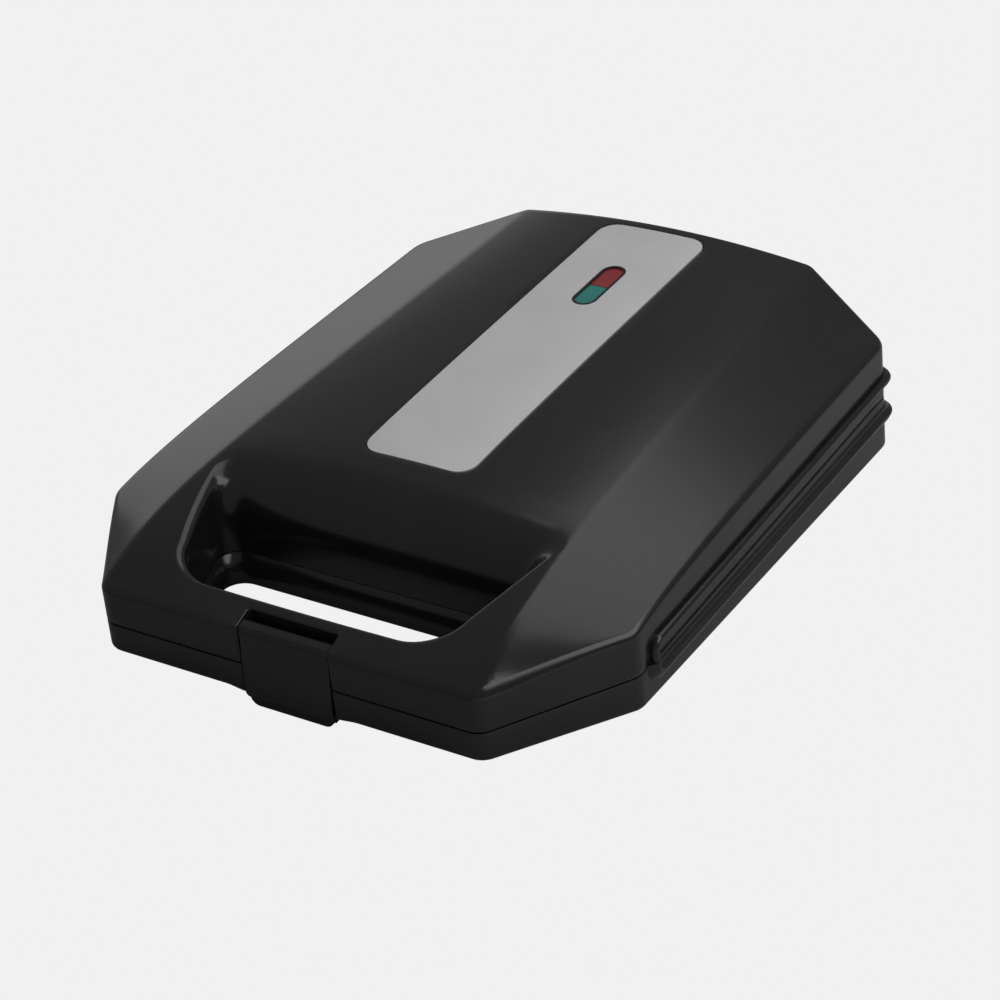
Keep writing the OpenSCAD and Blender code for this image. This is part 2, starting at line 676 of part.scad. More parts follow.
/* Inside parts of the base */
block_y = y1 - 18;
module terminal_block() {
    color([0.85, 0.84, 0.78]) translate([0, block_y, z0 + 2.2]) difference() {
        translate([-18, -6, 0]) cube([36, 12, 10]);
        for (x = [-12, 0, 12]) translate([x, -10, 5]) rotate([-90, 0, 0]) cylinder(d = 3, h = 20);
        for (x = [-12, 0, 12]) translate([x, 0, 6]) cylinder(d = 4, h = 10);
    }
}
module supply_leads() {
    lead_z = z0 + 7.2;
    color([0.75, 0.75, 0.72]) for (s = [-1, 1]) {
        translate([0, 0, lead_z]) tube([[s * 12, block_y - 6], [s * 12, block_y - 12],
            [s * 26, block_y - 12], [s * 26, block_y - 22]], 2.4, 3, 8);
    }
}

/* Parts on the lid */
module trim_plate() {
    color(silver) one_mesh() difference() {
        under_trim(0, trim_proud - trim_t + 0.05, trim_proud);
        at_lamp() translate([0, 0, -20]) linear_extrude(40) polygon(stadium(lamp_w + 0.3, lamp_l + 0.3));
    }
}

module lamp_bezel() {
    color(black_gloss) at_lamp() difference() {
        translate([0, 0, trim_proud - bezel_h]) linear_extrude(bezel_h) polygon(stadium(lamp_w - 0.1, lamp_l - 0.1));
        translate([0, 0, -30]) linear_extrude(60)
            polygon(stadium(lamp_w - 2 * bezel_wall, lamp_l - 2 * bezel_wall));
    }
}

module half_lens(side) {
    w = lamp_w - 2 * bezel_wall - 0.1;
    l = lamp_l - 2 * bezel_wall - 0.1;
    at_lamp() translate([0, 0, trim_proud - 0.7 - lens_h]) intersection() {
        linear_extrude(lens_h) polygon(stadium(w, l));
        translate([0, side * (l / 4 + 0.25), 0]) cube([2 * w, l / 2, 4 * lens_h], center = true);
    }
}
module power_lens() {
    color([0.62, 0.16, 0.17]) half_lens(1);
}
module ready_lens() {
    color([0.15, 0.45, 0.42]) half_lens(-1);
}

bulb_d = 5;
bulb_l = 12;
lamp_seat = 0.6;
module indicator_lamps() {
    color([0.9, 0.75, 0.6]) at_lamp() for (s = [-1, 1])
        translate([0, s * lamp_l / 4, trim_proud - bezel_h + lamp_seat]) rotate([90, 0, 0])
            cylinder(d = bulb_d, h = bulb_l, center = true);
}
module lamp_holder() {
    color([0.85, 0.84, 0.78]) at_lamp() translate([0, 0, trim_proud - bezel_h - 3]) difference() {
        linear_extrude(3) polygon(stadium(lamp_w + 4, lamp_l + 4));
        for (s = [-1, 1]) translate([0, s * lamp_l / 4, 3 + lamp_seat]) rotate([90, 0, 0])
            cylinder(d = bulb_d + 0.2, h = bulb_l + 0.4, center = true);
        for (s = [-1, 1]) translate([s * 2, 0, -1]) cylinder(d = 1.6, h = 8);
    }
}

// The thermostat stands beside the rear screw, with the bracket's edge clear of the screw's boss
bracket_l = 12;
bracket_gap = 1;
thermo_y = screw_places[1].y - boss_d / 2 - bracket_l / 2 - bracket_gap;
module thermostat_bracket() {
    color(steel) on_split() translate([0, thermo_y, deck]) difference() {
        translate([-16, -bracket_l / 2, 0]) cube([32, bracket_l, 1]);
        for (x = [-11, 11]) translate([x, 0, -1]) cylinder(d = 2.8, h = 4);
    }
}
module thermostat() {
    color([0.12, 0.12, 0.13]) on_split() translate([0, thermo_y, deck + 1]) {
        cylinder(d = 11.5, h = 4);
        translate([0, 0, 4]) cylinder(d = 9, h = 2);
    }
}
module thermal_fuse() {
    color([0.80, 0.78, 0.70]) on_split() translate([0, plate_y - well_d / 9, deck + 2]) rotate([0, 90, 0]) {
        cylinder(d = 4, h = 26, center = true);
        cylinder(d = 1.2, h = 38, center = true);
    }
}

/* Latch */
module latch_pin() {
    color(steel) translate([0, pin_y, pin_z]) rod_x(latch_pin_d, latch_w + 8);
}

module latch() {
    face_top = y0 + 1.4;
    face_low = y0 - latch_proud;
    back = y0 + latch_t;
    hook_z = z0 - 0.4;
    tab_drop = 6;
    color(black_gloss) {
        difference() {
            union() {
                across([[face_top, z0 + latch_top - 1.6], [face_low, z0 + 1.2], [face_low + 0.5, z0 - 0.6],
                    [back - 2.4, z0 - 2.8], [back + hook_reach + 0.4, z0 - 1.8], [back + hook_reach + 1, hook_z],
                    [back + 0.2, hook_z], [back, z0 + 1], [back, pin_z - 3], [pin_y, pin_z - 1],
                    [pin_y + 0.2, z0 + latch_top], [face_top + 0.6, z0 + latch_top - 0.8]], latch_w);
                translate([0, pin_y, pin_z]) rod_x(2 * barrel_r, latch_w);
            }
            translate([0, pin_y, pin_z]) rod_x(latch_pin_d + pin_clearance, latch_w + 2);
        }
        translate([0, back - 0.4, z0 - tab_drop]) rotate([90, 0, 0]) linear_extrude(2.4)
            polygon(rounded([[latch_w / 2 - 2, 0], [latch_w / 2 - 0.8, tab_drop], [-latch_w / 2 + 0.8, tab_drop],
                [-latch_w / 2 + 2, 0]], [4.6, 0.4, 0.4, 4.6]));
    }
}

lower_cover();
lower_cook_plate();
lower_heating_element();
lower_heat_shield();
lower_plate_screws();
rubber_feet();
hinge_pins();
cord_bush();
terminal_block();
supply_leads();
upper_cover();
upper_cook_plate();
upper_heating_element();
upper_heat_shield();
upper_plate_screws();
trim_plate();
lamp_bezel();
power_lens();
ready_lens();
indicator_lamps();
lamp_holder();
thermostat();
thermostat_bracket();
thermal_fuse();
latch_pin();
latch();
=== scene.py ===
# %% [markdown]
# # A sandwich toaster, dressed for the camera
# The solid model arrives as a fixed frame: every part is already where it belongs, in metres,
# with the front at -Y. This lesson gives each part its finish, remakes the two glossy covers
# with finer surfaces, and lights the whole on a plain pale floor.

# %% Load the frame
import math
import bpy
import bmesh
from mathutils import Vector, Matrix


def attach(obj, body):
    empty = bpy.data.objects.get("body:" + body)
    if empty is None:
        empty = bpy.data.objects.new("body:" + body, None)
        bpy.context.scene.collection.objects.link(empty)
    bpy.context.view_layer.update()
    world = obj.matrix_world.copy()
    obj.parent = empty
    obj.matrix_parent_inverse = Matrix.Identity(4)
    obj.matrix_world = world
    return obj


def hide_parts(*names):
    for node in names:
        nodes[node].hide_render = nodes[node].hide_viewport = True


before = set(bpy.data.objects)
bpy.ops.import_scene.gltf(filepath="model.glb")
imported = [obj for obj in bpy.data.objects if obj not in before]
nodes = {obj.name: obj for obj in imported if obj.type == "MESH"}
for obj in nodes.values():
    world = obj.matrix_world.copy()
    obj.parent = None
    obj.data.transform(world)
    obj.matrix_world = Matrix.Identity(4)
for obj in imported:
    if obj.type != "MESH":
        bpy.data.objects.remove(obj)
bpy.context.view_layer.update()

# %% [markdown]
# ## Camera
# The picture was taken from the front right, about 31 degrees above the table, with a long
# lens. A long lens keeps the far edge of the lid nearly as wide as the near one. The camera
# looks at a point inside the toaster, from the distance where that lens fills the frame.

# %% Place the camera
def place_camera(azimuth, elevation, roll, distance, target, lens):
    az, el, ro = (math.radians(a) for a in (azimuth, elevation, roll))
    back = Vector((math.sin(az) * math.cos(el), -math.cos(az) * math.cos(el), math.sin(el)))
    level = Vector((math.cos(az), math.sin(az), 0.0))
    upright = back.cross(level)
    right = level * math.cos(ro) + upright * math.sin(ro)
    up = upright * math.cos(ro) - level * math.sin(ro)
    data = bpy.data.cameras.new("picture_camera")
    data.lens, data.sensor_width, data.sensor_fit = lens, 36.0, "HORIZONTAL"
    data.clip_start, data.clip_end = 0.05, 30.0
    camera = bpy.data.objects.new("picture_camera", data)
    turn = Matrix((right, up, back)).transposed().to_4x4()
    camera.matrix_world = Matrix.Translation(Vector(target) + back * distance) @ turn
    bpy.context.scene.collection.objects.link(camera)
    bpy.context.scene.camera = camera
    return camera

camera = place_camera(36.07, 30.78, -6.05, 1.3891, (0.03136, -0.04565, 0.051), 112.14)
print("camera at", [round(v, 3) for v in camera.location])

# %% [markdown]
# ## Floor and light
# Black gloss shows nothing but its surroundings, so the light is planned by what each face
# mirrors: a low panel behind on the left for the left slope of the lid, a high one behind for
# the right slope, and a dim room between them for the dark middle. The right wall mirrors the
# floor beside it, so a side panel lights that. The camera sees the same pale grey floor
# everywhere, while the floor in the mirror of the plastic has painted light and shade in its
# colour: painted shade in front and a painted pool of light on the right, graded along X.

# %% Floor
SEEN_GREY = (0.879, 0.879, 0.879, 1)
# Painted shade and painted light: the floor colour that the plastic mirrors goes from dark to pale along X.
FLOOR_PAINTED_SHADE, FLOOR_PAINTED_LIGHT = 0.34, 0.92
PAINTED_SHADE_TO_LIGHT_X = (0.05, 0.35)

def shader_tree(name):
    material = bpy.data.materials.new(name)
    material.use_nodes = True
    tree = material.node_tree
    tree.nodes.clear()
    output = tree.nodes.new("ShaderNodeOutputMaterial")
    return material, tree, output

def pale_floor_material():
    material, tree, output = shader_tree("pale_floor")
    seen = tree.nodes.new("ShaderNodeEmission")
    seen.inputs["Color"].default_value = SEEN_GREY
    # Reflections see this diffuse floor, whose colour is the painted shade-to-light gradient along X.
    painted_light_and_shade = tree.nodes.new("ShaderNodeBsdfDiffuse")
    place = tree.nodes.new("ShaderNodeTexCoord")
    split = tree.nodes.new("ShaderNodeSeparateXYZ")
    tree.links.new(place.outputs["Object"], split.inputs[0])
    painted_gradient = tree.nodes.new("ShaderNodeMapRange")
    painted_gradient.inputs["From Min"].default_value, painted_gradient.inputs["From Max"].default_value = PAINTED_SHADE_TO_LIGHT_X
    painted_gradient.inputs["To Min"].default_value, painted_gradient.inputs["To Max"].default_value = FLOOR_PAINTED_SHADE, FLOOR_PAINTED_LIGHT
    tree.links.new(split.outputs["X"], painted_gradient.inputs["Value"])
    tree.links.new(painted_gradient.outputs["Result"], painted_light_and_shade.inputs["Color"])
    path = tree.nodes.new("ShaderNodeLightPath")
    mix = tree.nodes.new("ShaderNodeMixShader")
    tree.links.new(path.outputs["Is Camera Ray"], mix.inputs["Fac"])
    tree.links.new(painted_light_and_shade.outputs[0], mix.inputs[1])
    tree.links.new(seen.outputs[0], mix.inputs[2])
    tree.links.new(mix.outputs[0], output.inputs["Surface"])
    return material

def floor_sheet(size):
    shape = bmesh.new()
    bmesh.ops.create_grid(shape, x_segments=1, y_segments=1, size=size / 2)
    mesh = bpy.data.meshes.new("floor")
    shape.to_mesh(mesh)
    shape.free()
    floor = bpy.data.objects.new("floor", mesh)
    bpy.context.scene.collection.objects.link(floor)
    floor.data.materials.append(pale_floor_material())
    return floor

floor_sheet(12.0)

# %% Room and light panels
world = bpy.data.worlds.new("dim_room")
bpy.context.scene.world = world
world.use_nodes = True
room = world.node_tree
backdrop = room.nodes["Background"]
backdrop.inputs["Color"].default_value = (0.9, 0.9, 0.9, 1)
backdrop.inputs["Strength"].default_value = 0.24
pale = room.nodes.new("ShaderNodeBackground")
pale.inputs["Color"].default_value = SEEN_GREY
room_path = room.nodes.new("ShaderNodeLightPath")
room_mix = room.nodes.new("ShaderNodeMixShader")
room.links.new(room_path.outputs["Is Camera Ray"], room_mix.inputs["Fac"])
room.links.new(backdrop.outputs[0], room_mix.inputs[1])
room.links.new(pale.outputs[0], room_mix.inputs[2])
room.links.new(room_mix.outputs[0], room.nodes["World Output"].inputs["Surface"])

def light_panel(name, azimuth, elevation, distance, width, height, brightness):
    az, el = math.radians(azimuth), math.radians(elevation)
    away = Vector((math.sin(az) * math.cos(el), math.cos(az) * math.cos(el), math.sin(el)))
    data = bpy.data.lights.new(name, "AREA")
    data.shape, data.size, data.size_y = "RECTANGLE", width, height
    data.energy = brightness * math.pi * width * height
    panel = bpy.data.objects.new(name, data)
    panel.location = away * distance
    panel.rotation_euler = away.to_track_quat("Z", "Y").to_euler()
    bpy.context.scene.collection.objects.link(panel)
    return panel

light_panel("low_panel_left", -50, 12, 2.2, 1.5, 0.75, 0.55)
light_panel("high_panel_back", 10, 64, 2.0, 1.8, 1.05, 1.2)
light_panel("side_panel_right", 85, 48, 1.5, 1.2, 0.9, 2.2)
bpy.context.scene.view_settings.view_transform = "Standard"

# %% [markdown]
# ## Finishes
# Every finish is grown from noise on the part's own coordinates, so nothing slides when a part
# moves. One helper makes them all: a colour that drifts between two shades, a roughness that
# drifts a little, and a fine bump. Numbers that are the same all over a surface are typed
# straight into the shader.

# %% One helper for all finishes
def noise(tree, where, scale, detail):
    node = tree.nodes.new("ShaderNodeTexNoise")
    node.inputs["Scale"].default_value = scale
    node.inputs["Detail"].default_value = detail
    tree.links.new(where, node.inputs["Vector"])
    return node.outputs["Fac"]

def between(tree, factor, low, high):
    node = tree.nodes.new("ShaderNodeMapRange")
    node.inputs["From Min"].default_value, node.inputs["From Max"].default_value = 0.3, 0.7
    node.inputs["To Min"].default_value, node.inputs["To Max"].default_value = low, high
    tree.links.new(factor, node.inputs["Value"])
    return node.outputs["Result"]

def make_finish(name, dark, light, rough, grain=400.0, bump=0.0, stretch=(1, 1, 1), drift=25.0, **fixed):
    material, tree, output = shader_tree(name)
    shader = tree.nodes.new("ShaderNodeBsdfPrincipled")
    tree.links.new(shader.outputs[0], output.inputs["Surface"])
    place = tree.nodes.new("ShaderNodeTexCoord")
    mapping = tree.nodes.new("ShaderNodeMapping")
    mapping.inputs["Scale"].default_value = stretch
    tree.links.new(place.outputs["Object"], mapping.inputs["Vector"])
    shades = tree.nodes.new("ShaderNodeValToRGB")
    shades.color_ramp.elements[0].position, shades.color_ramp.elements[1].position = 0.3, 0.7
    shades.color_ramp.elements[0].color = (*dark, 1)
    shades.color_ramp.elements[1].color = (*light, 1)
    tree.links.new(noise(tree, mapping.outputs[0], drift, 4.0), shades.inputs["Fac"])
    tree.links.new(shades.outputs["Color"], shader.inputs["Base Color"])
    fine = noise(tree, mapping.outputs[0], grain, 3.0)
    tree.links.new(between(tree, fine, rough[0], rough[1]), shader.inputs["Roughness"])
    if bump:
        relief = tree.nodes.new("ShaderNodeBump")
        relief.inputs["Strength"].default_value = 1.0
        relief.inputs["Distance"].default_value = bump
        tree.links.new(fine, relief.inputs["Height"])
        tree.links.new(relief.outputs[0], shader.inputs["Normal"])
    for socket, value in fixed.items():
        shader.inputs[socket.replace("_", " ")].default_value = value
    return material

# %% The finishes of this toaster
black_gloss = make_finish("black_gloss", (0.0085, 0.0085, 0.009), (0.012, 0.012, 0.0125), (0.16, 0.22),
    grain=900, bump=0.000004)
coated_plate = make_finish("coated_plate", (0.018, 0.018, 0.019), (0.035, 0.034, 0.034), (0.38, 0.52),
    grain=1500, bump=0.00002)
oxidised_tube = make_finish("oxidised_tube", (0.16, 0.14, 0.12), (0.30, 0.28, 0.26), (0.30, 0.45),
    grain=700, bump=0.00001, Metallic=1.0)
bright_sheet = make_finish("bright_sheet", (0.55, 0.55, 0.54), (0.70, 0.70, 0.69), (0.22, 0.36),
    grain=300, stretch=(1, 12, 1), Metallic=1.0)
plated_steel = make_finish("plated_steel", (0.50, 0.50, 0.51), (0.66, 0.66, 0.67), (0.22, 0.34),
    grain=900, Metallic=1.0)
matt_rubber = make_finish("matt_rubber", (0.018, 0.018, 0.018), (0.03, 0.03, 0.03), (0.62, 0.80),
    grain=1800, bump=0.00003)
pale_plastic = make_finish("pale_plastic", (0.62, 0.60, 0.53), (0.70, 0.68, 0.61), (0.42, 0.55), grain=900)
lead_sleeve = make_finish("lead_sleeve", (0.60, 0.59, 0.54), (0.68, 0.67, 0.62), (0.5, 0.62), grain=900)
silver_satin = make_finish("silver_satin", (0.72, 0.72, 0.725), (0.78, 0.78, 0.785), (0.40, 0.48),
    grain=2200, bump=0.000004, Metallic=0.6)
red_tint = make_finish("red_tint", (0.26, 0.022, 0.026), (0.33, 0.034, 0.038), (0.16, 0.24), grain=900)
green_tint = make_finish("green_tint", (0.020, 0.19, 0.17), (0.032, 0.25, 0.22), (0.16, 0.24), grain=900)
lamp_glass = make_finish("lamp_glass", (0.80, 0.70, 0.60), (0.90, 0.80, 0.70), (0.05, 0.10), grain=500)
phenolic = make_finish("phenolic", (0.015, 0.015, 0.016), (0.03, 0.03, 0.03), (0.35, 0.5), grain=900)
ceramic = make_finish("ceramic", (0.62, 0.60, 0.52), (0.72, 0.70, 0.62), (0.3, 0.45), grain=900)
print("finishes:", len(bpy.data.materials))

# %% [markdown]
# ## Which part wears what
# The inner parts keep the solid model's shapes: they are simple turned, bent and pressed
# pieces, and only their finish was missing.

# %% Dress the parts
wears = {
    "lower_cover": black_gloss, "upper_cover": black_gloss, "latch": black_gloss, "lamp_bezel": black_gloss,
    "lower_cook_plate": coated_plate, "upper_cook_plate": coated_plate,
    "lower_heating_element": oxidised_tube, "upper_heating_element": oxidised_tube,
    "lower_heat_shield": bright_sheet, "upper_heat_shield": bright_sheet, "thermostat_bracket": bright_sheet,
    "lower_plate_screws": plated_steel, "upper_plate_screws": plated_steel, "hinge_pins": plated_steel,
    "latch_pin": plated_steel, "rubber_feet": matt_rubber, "cord_bush": matt_rubber,
    "terminal_block": pale_plastic, "lamp_holder": pale_plastic, "supply_leads": lead_sleeve,
    "trim_plate": silver_satin, "power_lens": red_tint, "ready_lens": green_tint,
    "indicator_lamps": lamp_glass, "thermostat": phenolic, "thermal_fuse": ceramic,
}
for part, finish in wears.items():
    nodes[part].data.materials.clear()
    nodes[part].data.materials.append(finish)
print("dressed:", len(wears), "of", len(nodes))

# %% [markdown]
# ## The form of the body
# On the real object the two covers are injection moulded. The top is one long smooth sheet: it
# climbs quickly behind the handle bar, then gently to the back, with a soft crease at each side
# and a flatter facet beyond it. A height for every place on the plan describes such a sheet
# better than pushed and pulled boxes do, so the form is written down once as a few short
# functions in millimetres, and both covers are cut from it.

# %% Main sizes and the height of the top
FRONT, BACK = -170.95, 159.05
LENGTH = BACK - FRONT
GRIP_FRONT, GRIP_BACK = -153.95, -99.95
SPLIT_FRONT, SPLIT_RISE, SEAM = 24.0, 14.0, 0.25
CREASE_HALF, CREASE_TAPER, CREASE_SOFT = 99.5, 19.0, 2.5
CREASE_LOW, ROLL_RISE, ROLL_LENGTH, TOP_PITCH = 42.7, 21.8, 43.0, 3.1
CROWN, CROWN_START, CROWN_SPAN = 5.5, 0.6, 0.95
DISH, DISH_LENGTH = 2.0, 8.0
FALL, FALL_GAIN, FALL_FRONT, FALL_LENGTH = 0.3, 0.02, 0.55, 21.7
LID_NOTCH, BASE_NOTCH = 10.6, 4.4
EDGE_ROUND, COVER_WALL = 3.0, 2.0

def run(y):
    return max(0.0, y - FRONT)

def split_z(y):
    return SPLIT_FRONT + (y - FRONT) * SPLIT_RISE / LENGTH

def crease_x(y):
    return CREASE_HALF - CREASE_TAPER * run(y) / LENGTH

def crease_z(y):
    pitch = run(y) * math.tan(math.radians(TOP_PITCH))
    return CREASE_LOW + ROLL_RISE * (1 - math.exp(-run(y) / ROLL_LENGTH)) + pitch

def bow(y):
    grip_run = GRIP_BACK - FRONT
    t = min(1.0, max(0.0, (run(y) / grip_run - CROWN_START) / CROWN_SPAN))
    share = t * t * (3 - 2 * t)
    return CROWN * share - DISH * (1 - share) * (1 - math.exp(-run(y) / DISH_LENGTH))

def facet_fall(y):
    return FALL + FALL_GAIN * run(y) / LENGTH + FALL_FRONT * math.exp(-run(y) / FALL_LENGTH)

def top_z(x, y):
    a, c, w, b, f = abs(x), crease_x(y), CREASE_SOFT, bow(y), facet_fall(y)
    if a <= c - w:
        return crease_z(y) + b * (1 - (a / c) ** 2)
    if a >= c + w:
        return crease_z(y) - f * (a - c)
    slope, t = -2 * b * (c - w) / c ** 2, a - c + w
    return crease_z(y) + b * (1 - (1 - w / c) ** 2) + slope * t - (f + slope) * t * t / (4 * w)

print("top at the bar, the lamp and the back:", [round(top_z(0, y), 1) for y in (-160, 95, 155)])

# %% [markdown]
# ## Outlines with rounded corners
# Every edge of the moulding starts as an outline seen from above. The helper walks round the
# corners, puts an arc in each, and remembers which way is outwards at every point. With that,
# a rounded edge is only a few copies of the outline, each a little further in or out.

# %% Outline helper
def rounded_outline(corners, spacing=2.0, steps=8):
    arcs = []
    for i, (x, y, radius) in enumerate(corners):
        here, before = Vector((x, y)), Vector(corners[i - 1][:2])
        after = Vector(corners[(i + 1) % len(corners)][:2])
        u, v = (here - before).normalized(), (after - here).normalized()
        angle = math.atan2(u.x * v.y - u.y * v.x, u.dot(v))
        side = 1 if angle > 0 else -1
        outwards = Vector((u.y, -u.x))
        start = here - u * radius * abs(math.tan(angle / 2))
        centre = start - outwards * radius * side
        turns = [Matrix.Rotation(angle * k / steps, 2) @ outwards for k in range(steps + 1)]
        arcs.append([(centre + n * radius * side, n) for n in turns])
    walk = []
    for arc, following in zip(arcs, arcs[1:] + arcs[:1]):
        walk += arc
        (p, n), (q, _) = arc[-1], following[0]
        pieces = max(1, round((q - p).length / spacing))
        walk += [(p.lerp(q, k / pieces), n) for k in range(1, pieces)]
    return walk

PLAN_CORNERS = [(CREASE_HALF, FRONT), (140.0, -108.95), (133.0, 132.05), (80.5, BACK)]
PLAN_ROUND = 10
NOTCH_HALF = 24

def mirrored(right):
    return right + [(-x, y, r) for x, y, r in reversed(right)]

def half_width(y):
    for (x0, y0), (x1, y1) in zip(PLAN_CORNERS, PLAN_CORNERS[1:]):
        if y < y1 or y1 == BACK:
            return x0 + (y - y0) * (x1 - x0) / (y1 - y0)

def body_outline(notch_depth):
    right = [(NOTCH_HALF, FRONT, 1.2)] + [(x, y, PLAN_ROUND) for x, y in PLAN_CORNERS]
    notch = [(-NOTCH_HALF, FRONT + notch_depth, 1.5), (NOTCH_HALF, FRONT + notch_depth, 1.5)]
    return rounded_outline(mirrored(right) + notch)

print("points round the lid:", len(body_outline(LID_NOTCH)))

# %% [markdown]
# ## Lofting through rings
# A ring is a closed loop of edges. Bridging each ring to the next gives the walls and the
# rounded edges as even strips of quads, which reflect cleanly in gloss plastic.

# %% Loft helper
def ring_of_edges(shape, points):
    corners = [shape.verts.new(p) for p in points]
    return [shape.edges.new((a, b)) for a, b in zip(corners, corners[1:] + corners[:1])]

def loft(shape, rings):
    loops = [ring_of_edges(shape, ring) for ring in rings]
    for a, b in zip(loops, loops[1:]):
        bmesh.ops.bridge_loops(shape, edges=a + b)
    return loops

NOTCH_ROUND, NOTCH_BLEND = 0.8, 9

def edge_radius(x, y, notch_depth):
    if abs(x) >= NOTCH_HALF + 1 + NOTCH_BLEND or y >= FRONT + notch_depth + 2:
        return EDGE_ROUND
    share = max(0.0, min(1.0, (abs(x) - NOTCH_HALF - 1) / NOTCH_BLEND))
    return NOTCH_ROUND + (EDGE_ROUND - NOTCH_ROUND) * share

METRE = 0.001

def finished_piece(shape, name, finish, body, smooth_below=38):
    bmesh.ops.remove_doubles(shape, verts=shape.verts, dist=0.0005)
    bmesh.ops.recalc_face_normals(shape, faces=shape.faces)
    bmesh.ops.scale(shape, vec=(METRE, METRE, METRE), verts=shape.verts)
    mesh = bpy.data.meshes.new(name)
    shape.to_mesh(mesh)
    shape.free()
    mesh.polygons.foreach_set("use_smooth", [True] * len(mesh.polygons))
    mesh.set_sharp_from_angle(angle=math.radians(smooth_below))
    piece = bpy.data.objects.new(name, mesh)
    piece.data.materials.append(finish)
    bpy.context.scene.collection.objects.link(piece)
    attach(piece, body)
    return piece

# %% [markdown]
# ## The opening for the fingers
# The opening has a straight wall at each side and a narrow round on its rim, but at the back
# the top rolls down into it over 25 mm, like a scoop. Each ring below belongs to one angle of
# that roll: at the back it moves a lot, at the sides only over the small round.

# %% Rings of the opening
GRIP_HALF, GRIP_SPREAD, GRIP_BULGE = 67.0, 22.5, 4.0
SCOOP_ROUND, RIM_ROUND, RIM_OUT, RIM_FRONT = 25.0, 4.5, 5.0, 3.5
FRONT_CORNER, BACK_CORNER = 18.0, 16.0
ACROSS, CORNERS, SIDES = 22, 12, 30
RIM_TURN = 45

def side_x(y):
    t = (y - GRIP_FRONT) / (GRIP_BACK - GRIP_FRONT)
    return GRIP_HALF + GRIP_SPREAD * t - GRIP_BULGE * t * t

def bend(p0, p1, p2, p3, t):
    s = 1 - t
    return tuple(s * s * s * a + 3 * s * s * t * b + 3 * s * t * t * c + t * t * t * d
        for a, b, c, d in zip(p0, p1, p2, p3))

def half_opening(turn):
    a = math.radians(turn)
    left_over = 1 - math.sin(min(math.pi / 2, 2 * a))
    back, front = GRIP_BACK + SCOOP_ROUND * (1 - math.sin(a)), GRIP_FRONT - RIM_FRONT * left_over
    wall = lambda y: side_x(y) + RIM_OUT * left_over
    reach = BACK_CORNER - 3 * math.sin(a)
    front_y, back_y, mid_y = front + FRONT_CORNER, back - reach, back - reach * 0.45
    front_x, back_x = GRIP_HALF + RIM_OUT * left_over - FRONT_CORNER, wall(back) - reach
    half = [(front_x * k / ACROSS, front, 0.0) for k in range(ACROSS)]
    for k in range(CORNERS):
        x, y = bend((front_x, front), (front_x + 11, front), (wall(front_y) - 2, front + 7),
            (wall(front_y), front_y), k / CORNERS)
        half.append((x, y, 0.0))
    for k in range(SIDES):
        y = front_y + (back_y - front_y) * k / SIDES
        half.append((wall(y), y, 0.0))
    for k in range(CORNERS):
        t = k / CORNERS
        x, y = bend((wall(back_y), back_y), (wall(mid_y), mid_y), (back_x + reach * 0.55, back),
            (back_x, back), t)
        half.append((x, y, t * t * (3 - 2 * t)))
    return half + [(back_x * (1 - k / ACROSS), back, 1.0) for k in range(ACROSS + 1)]

def opening_ring(turn):
    a = math.radians(turn)
    half, ring = half_opening(turn), []
    for x, y, share in half + [(-x, y, s) for x, y, s in reversed(half[1:-1])]:
        top, low = top_z(x, y), split_z(y) + SEAM
        if turn <= RIM_TURN:
            beside = top - RIM_ROUND * (1 - math.cos(2 * a))
        else:
            beside = top - RIM_ROUND - (turn - RIM_TURN) / RIM_TURN * 0.8 * (top - RIM_ROUND - low)
        ring.append((x, y, (1 - share) * beside + share * (top - SCOOP_ROUND * (1 - math.cos(a)))))
    return ring

TURNS = [0, 3, 6, 9, 12, 15, 18, 21, 24, 28, 32, 36, 40, 45, 50, 55, 60, 66, 72, 78, 84, 90]
opening_rings = [opening_ring(turn) for turn in TURNS]
print("rings:", len(opening_rings), "points in each:", len(opening_rings[0]))

# %% [markdown]
# ## Skin of the lid
# Between the outline, the opening and the recess of the silver strip the top is a field with
# three holes in it. No single operator fills such a field with even faces, so the points are
# laid in rows that follow the creases and joined by Delaunay triangulation, and the rings of
# the rounded edges are bridged on to it. Solidify then gives the skin its wall.

# %% Field of the top
from mathutils.geometry import delaunay_2d_cdt
from mathutils.kdtree import KDTree

def inside(loop, x, y):
    odd = False
    for (x1, y1), (x2, y2) in zip(loop, loop[1:] + loop[:1]):
        if (y1 > y) != (y2 > y) and x < (x2 - x1) * (y - y1) / (y2 - y1) + x1:
            odd = not odd
    return odd

COLUMNS, WIDE_STEP, FINE_STEP = 22, 4.0, 2.5
FINE_TO = -60.0

def rows_of_points():
    points, y = [], FRONT + EDGE_ROUND
    while y < BACK - 2:
        c = crease_x(y)
        columns = [c * k / COLUMNS for k in range(COLUMNS) if c * k / COLUMNS < c - CREASE_SOFT - 1.2]
        columns += [c + CREASE_SOFT * k / 2 for k in (-2, -1, 0, 1, 2)]
        x = c + CREASE_SOFT + 3.5
        while x < half_width(y) - EDGE_ROUND:
            columns.append(x)
            x += WIDE_STEP
        points += [(s * x, y) for x in columns for s in ((1, -1) if x else (1,))]
        y += FINE_STEP if y < FINE_TO else WIDE_STEP
    return points

def field(outer, holes, points):
    loops = [outer] + holes
    rim = KDTree(sum(len(loop) for loop in loops))
    for i, (x, y) in enumerate(p for loop in loops for p in loop):
        rim.insert((x, y, 0), i)
    rim.balance()
    kept = [p for p in points if rim.find((p[0], p[1], 0))[2] > 1.5 and inside(outer, *p)
        and not any(inside(hole, *p) for hole in holes)]
    verts, edges = list(kept), []
    for loop in loops:
        start = len(verts)
        verts += loop
        edges += [(start + i, start + (i + 1) % len(loop)) for i in range(len(loop))]
    spots, _, faces, *_ = delaunay_2d_cdt([Vector(p) for p in verts], edges, [], 0, 1e-6)
    middle = lambda f: (sum(spots[i].x for i in f) / 3, sum(spots[i].y for i in f) / 3)
    faces = [f for f in faces if inside(outer, *middle(f))
        and not any(inside(hole, *middle(f)) for hole in holes)]
    return spots, faces

